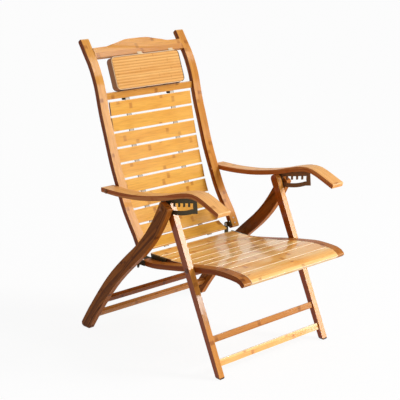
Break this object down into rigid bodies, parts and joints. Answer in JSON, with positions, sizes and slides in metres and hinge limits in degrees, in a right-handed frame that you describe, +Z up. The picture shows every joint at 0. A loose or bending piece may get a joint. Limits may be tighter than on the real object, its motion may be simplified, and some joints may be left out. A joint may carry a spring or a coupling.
{
  "type": "folding recliner",
  "caption": "Slatted bamboo folding recliner with a sagging back, a headrest, and arms that hook over a pin on crossed legs to set the recline.",
  "frame": {"origin": "on the floor under the middle of the open chair's outline", "axes": "+X to the sitter's left, +Y to the back, +Z up; the seat opens towards -Y"},
  "size_m": [0.6266, 0.9, 1.13],
  "materials": {
    "honey_bamboo": "clear lacquer over carbonised bamboo",
    "slat_bamboo": "clear lacquer over carbonised bamboo strips",
    "amber_bamboo": "clear lacquer over darker carbonised bamboo",
    "black_steel": "dark bronze-black coating on sheet steel",
    "bright_steel": "bright plated steel",
    "webbing": "woven grey strap",
    "black_plastic": "black moulded plug"
  },
  "bodies": {
    "front_frame": {"front_leg_left": "honey_bamboo", "front_leg_right": "honey_bamboo", "front_stretcher_lower": "honey_bamboo", "front_stretcher_upper": "honey_bamboo", "seat_pivot_bolt_left": "bright_steel", "seat_pivot_bolt_right": "bright_steel", "top_pin_left": "bright_steel", "top_pin_right": "bright_steel"},
    "rear_frame": {"rear_leg_left": "amber_bamboo", "rear_leg_right": "amber_bamboo", "rear_stretcher_lower": "amber_bamboo", "rear_stretcher_upper": "amber_bamboo", "rest_stub_left": "bright_steel", "rest_stub_right": "bright_steel"},
    "seat": {"rest_hook_left": "black_steel", "rest_hook_right": "black_steel", "seat_cleat_left": "amber_bamboo", "seat_cleat_right": "amber_bamboo", "seat_front_rail": "honey_bamboo", "seat_hinge_leaf_left": "black_steel", "seat_hinge_leaf_right": "black_steel", "seat_rail_left": "honey_bamboo", "seat_rail_right": "honey_bamboo", "seat_slat_01": "slat_bamboo", "seat_slat_02": "slat_bamboo", "seat_slat_03": "slat_bamboo", "seat_slat_04": "slat_bamboo", "seat_slat_05": "slat_bamboo", "seat_slat_06": "slat_bamboo", "seat_slat_07": "slat_bamboo", "seat_slat_08": "slat_bamboo", "hinge_rivet_left": "bright_steel", "hinge_rivet_right": "bright_steel"},
    "back": {"back_hinge_leaf_left": "black_steel", "back_hinge_leaf_right": "black_steel", "back_slat_01": "slat_bamboo", "back_slat_02": "slat_bamboo", "back_slat_03": "slat_bamboo", "back_slat_04": "slat_bamboo", "back_slat_05": "slat_bamboo", "back_slat_06": "slat_bamboo", "back_slat_07": "slat_bamboo", "back_slat_08": "slat_bamboo", "back_slat_09": "slat_bamboo", "back_slat_10": "slat_bamboo", "back_stile_left": "honey_bamboo", "back_stile_right": "honey_bamboo", "back_strap_left": "webbing", "back_strap_right": "webbing", "headrest": "slat_bamboo", "strap_plug_left": "black_plastic", "strap_plug_right": "black_plastic", "top_rail": "honey_bamboo", "upper_crossbar": "honey_bamboo", "arm_bolt_left": "bright_steel", "arm_bolt_right": "bright_steel"},
    "arms": {"arm_left": "honey_bamboo", "arm_right": "honey_bamboo", "notch_plate_left": "black_steel", "notch_plate_right": "black_steel"}
  },
  "joints": [
    {"name": "seat_fold", "type": "hinge", "parent": "front_frame", "child": "seat", "pos_m": [0, -0.18303, 0.361], "axis": [-1, 0, 0], "range_deg": [0, 92]},
    {"name": "rear_leg_fold", "type": "hinge", "parent": "front_frame", "child": "rear_frame", "pos_m": [0, -0.09303, 0.575], "axis": [-1, 0, 0], "range_deg": [0, 55.2]},
    {"name": "hinge_fold", "type": "hinge", "parent": "seat", "child": "back", "pos_m": [0, 0.13997, 0.371], "axis": [1, 0, 0], "range_deg": [0, 92]},
    {"name": "arm_fold", "type": "hinge", "parent": "back", "child": "arms", "pos_m": [0, 0.22997, 0.585], "axis": [-1, 0, 0], "range_deg": [0, 92]}
  ],
  "couplings": [
    {"joint": "rear_leg_fold", "follows": "seat_fold", "ratio": 0.6},
    {"joint": "hinge_fold", "follows": "seat_fold", "ratio": 1},
    {"joint": "arm_fold", "follows": "seat_fold", "ratio": 1}
  ]
}
